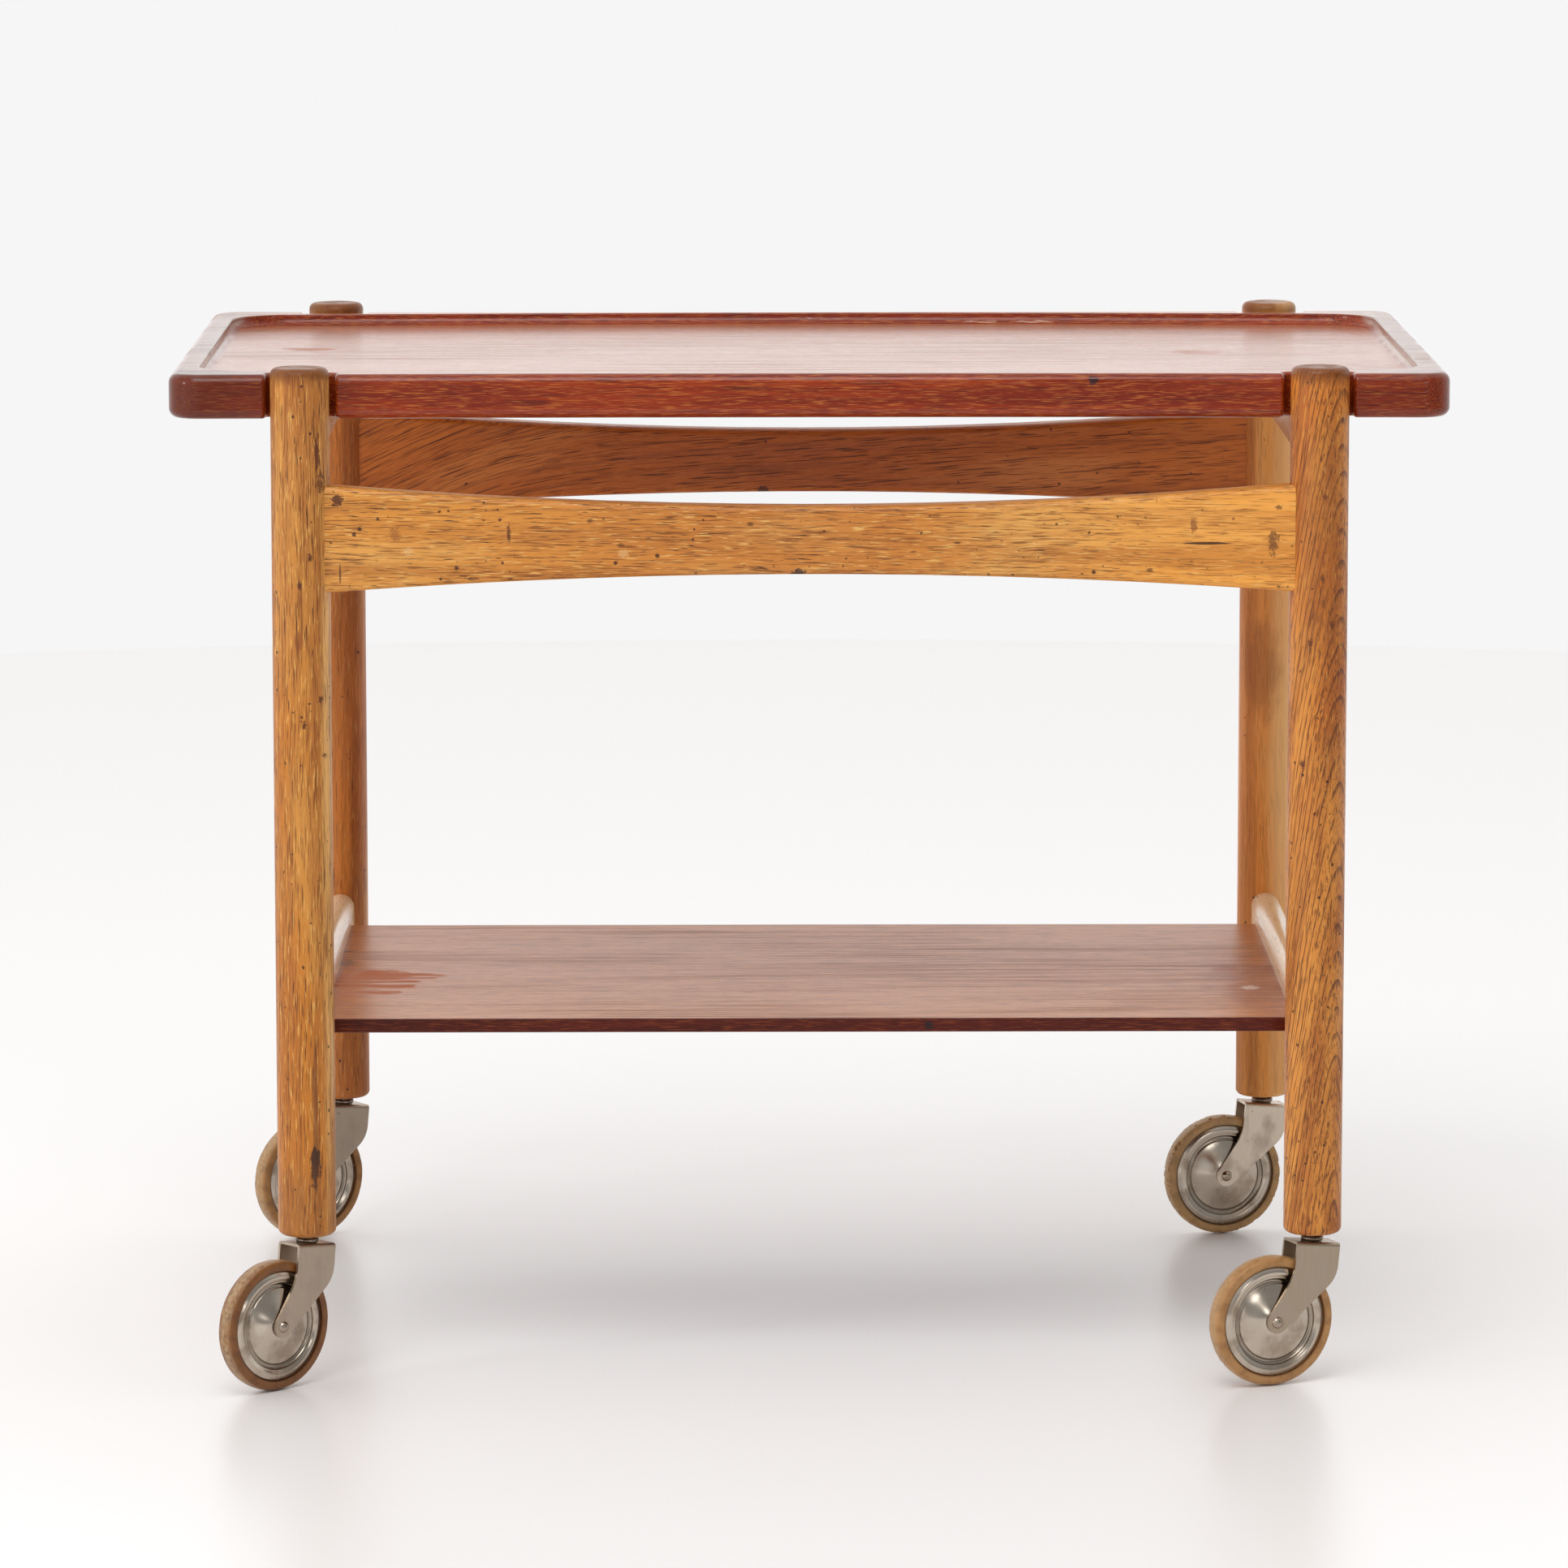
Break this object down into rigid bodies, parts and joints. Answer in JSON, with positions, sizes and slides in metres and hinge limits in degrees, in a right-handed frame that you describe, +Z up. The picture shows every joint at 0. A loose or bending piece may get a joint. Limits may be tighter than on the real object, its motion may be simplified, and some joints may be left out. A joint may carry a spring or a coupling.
{
  "type": "serving trolley",
  "caption": "Wooden serving trolley: a loose tray with a milled well rests between round legs, over waisted rails and a lower shelf, and rolls on swivel castors.",
  "frame": {"origin": "on the floor, midway between the four legs", "axes": "+X along the trolley to the right, +Y from the front to the rear, +Z up"},
  "size_m": [0.82, 0.5521, 0.66],
  "materials": {
    "teak": "oiled and waxed, worn",
    "oak": "oiled, aged to honey",
    "fork_steel": "satin nickel",
    "hub_steel": "spun nickel, worn",
    "dark_steel": "oiled, darkened",
    "tyre": "aged tan rubber, scuffed"
  },
  "bodies": {
    "frame": {"shelf": "teak", "long_rail_front": "oak", "long_rail_rear": "oak", "upper_cross_rail_left": "oak", "lower_cross_rail_left": "oak", "upper_cross_rail_right": "oak", "lower_cross_rail_right": "oak", "leg_front_left": "oak", "castor_front_left_socket": "dark_steel", "leg_front_right": "oak", "castor_front_right_socket": "dark_steel", "leg_rear_left": "oak", "castor_rear_left_socket": "dark_steel", "leg_rear_right": "oak", "castor_rear_right_socket": "dark_steel"},
    "tray": {"tray": "teak"},
    "swivel_front_left": {"castor_front_left_stem": "dark_steel", "castor_front_left_collar": "dark_steel", "castor_front_left_fork": "fork_steel", "castor_front_left_axle": "hub_steel"},
    "wheel_front_left": {"castor_front_left_bush": "hub_steel", "castor_front_left_hub_disc_outer": "hub_steel", "castor_front_left_hub_disc_inner": "hub_steel", "castor_front_left_tyre": "tyre"},
    "swivel_front_right": {"castor_front_right_stem": "dark_steel", "castor_front_right_collar": "dark_steel", "castor_front_right_fork": "fork_steel", "castor_front_right_axle": "hub_steel"},
    "wheel_front_right": {"castor_front_right_bush": "hub_steel", "castor_front_right_hub_disc_outer": "hub_steel", "castor_front_right_hub_disc_inner": "hub_steel", "castor_front_right_tyre": "tyre"},
    "swivel_rear_left": {"castor_rear_left_stem": "dark_steel", "castor_rear_left_collar": "dark_steel", "castor_rear_left_fork": "fork_steel", "castor_rear_left_axle": "hub_steel"},
    "wheel_rear_left": {"castor_rear_left_bush": "hub_steel", "castor_rear_left_hub_disc_outer": "hub_steel", "castor_rear_left_hub_disc_inner": "hub_steel", "castor_rear_left_tyre": "tyre"},
    "swivel_rear_right": {"castor_rear_right_stem": "dark_steel", "castor_rear_right_collar": "dark_steel", "castor_rear_right_fork": "fork_steel", "castor_rear_right_axle": "hub_steel"},
    "wheel_rear_right": {"castor_rear_right_bush": "hub_steel", "castor_rear_right_hub_disc_outer": "hub_steel", "castor_rear_right_hub_disc_inner": "hub_steel", "castor_rear_right_tyre": "tyre"}
  },
  "joints": [
    {"name": "tray_lift", "type": "slide", "parent": "frame", "child": "tray", "axis": [0, 0, 1], "range_m": [0, 0.06]},
    {"name": "front_left_swivel", "type": "hinge", "parent": "frame", "child": "swivel_front_left", "pos_m": [-0.325, -0.24, 0.0985], "axis": [0, 0, 1], "continuous": true},
    {"name": "front_left_roll", "type": "hinge", "parent": "swivel_front_left", "child": "wheel_front_left", "pos_m": [-0.34622, -0.26049, 0.0425], "axis": [0.6947, -0.7193, 0], "continuous": true},
    {"name": "front_right_swivel", "type": "hinge", "parent": "frame", "child": "swivel_front_right", "pos_m": [0.325, -0.24, 0.0985], "axis": [0, 0, 1], "continuous": true},
    {"name": "front_right_roll", "type": "hinge", "parent": "swivel_front_right", "child": "wheel_front_right", "pos_m": [0.29785, -0.25153, 0.0425], "axis": [0.3907, -0.9205, 0], "continuous": true},
    {"name": "rear_left_swivel", "type": "hinge", "parent": "frame", "child": "swivel_rear_left", "pos_m": [-0.325, 0.24, 0.0985], "axis": [0, 0, 1], "continuous": true},
    {"name": "rear_left_roll", "type": "hinge", "parent": "swivel_rear_left", "child": "wheel_rear_left", "pos_m": [-0.34887, 0.22266, 0.0425], "axis": [0.5878, -0.809, 0], "continuous": true},
    {"name": "rear_right_swivel", "type": "hinge", "parent": "frame", "child": "swivel_rear_right", "pos_m": [0.325, 0.24, 0.0985], "axis": [0, 0, 1], "continuous": true},
    {"name": "rear_right_roll", "type": "hinge", "parent": "swivel_rear_right", "child": "wheel_rear_right", "pos_m": [0.29657, 0.23212, 0.0425], "axis": [0.2672, -0.9636, 0], "continuous": true}
  ]
}
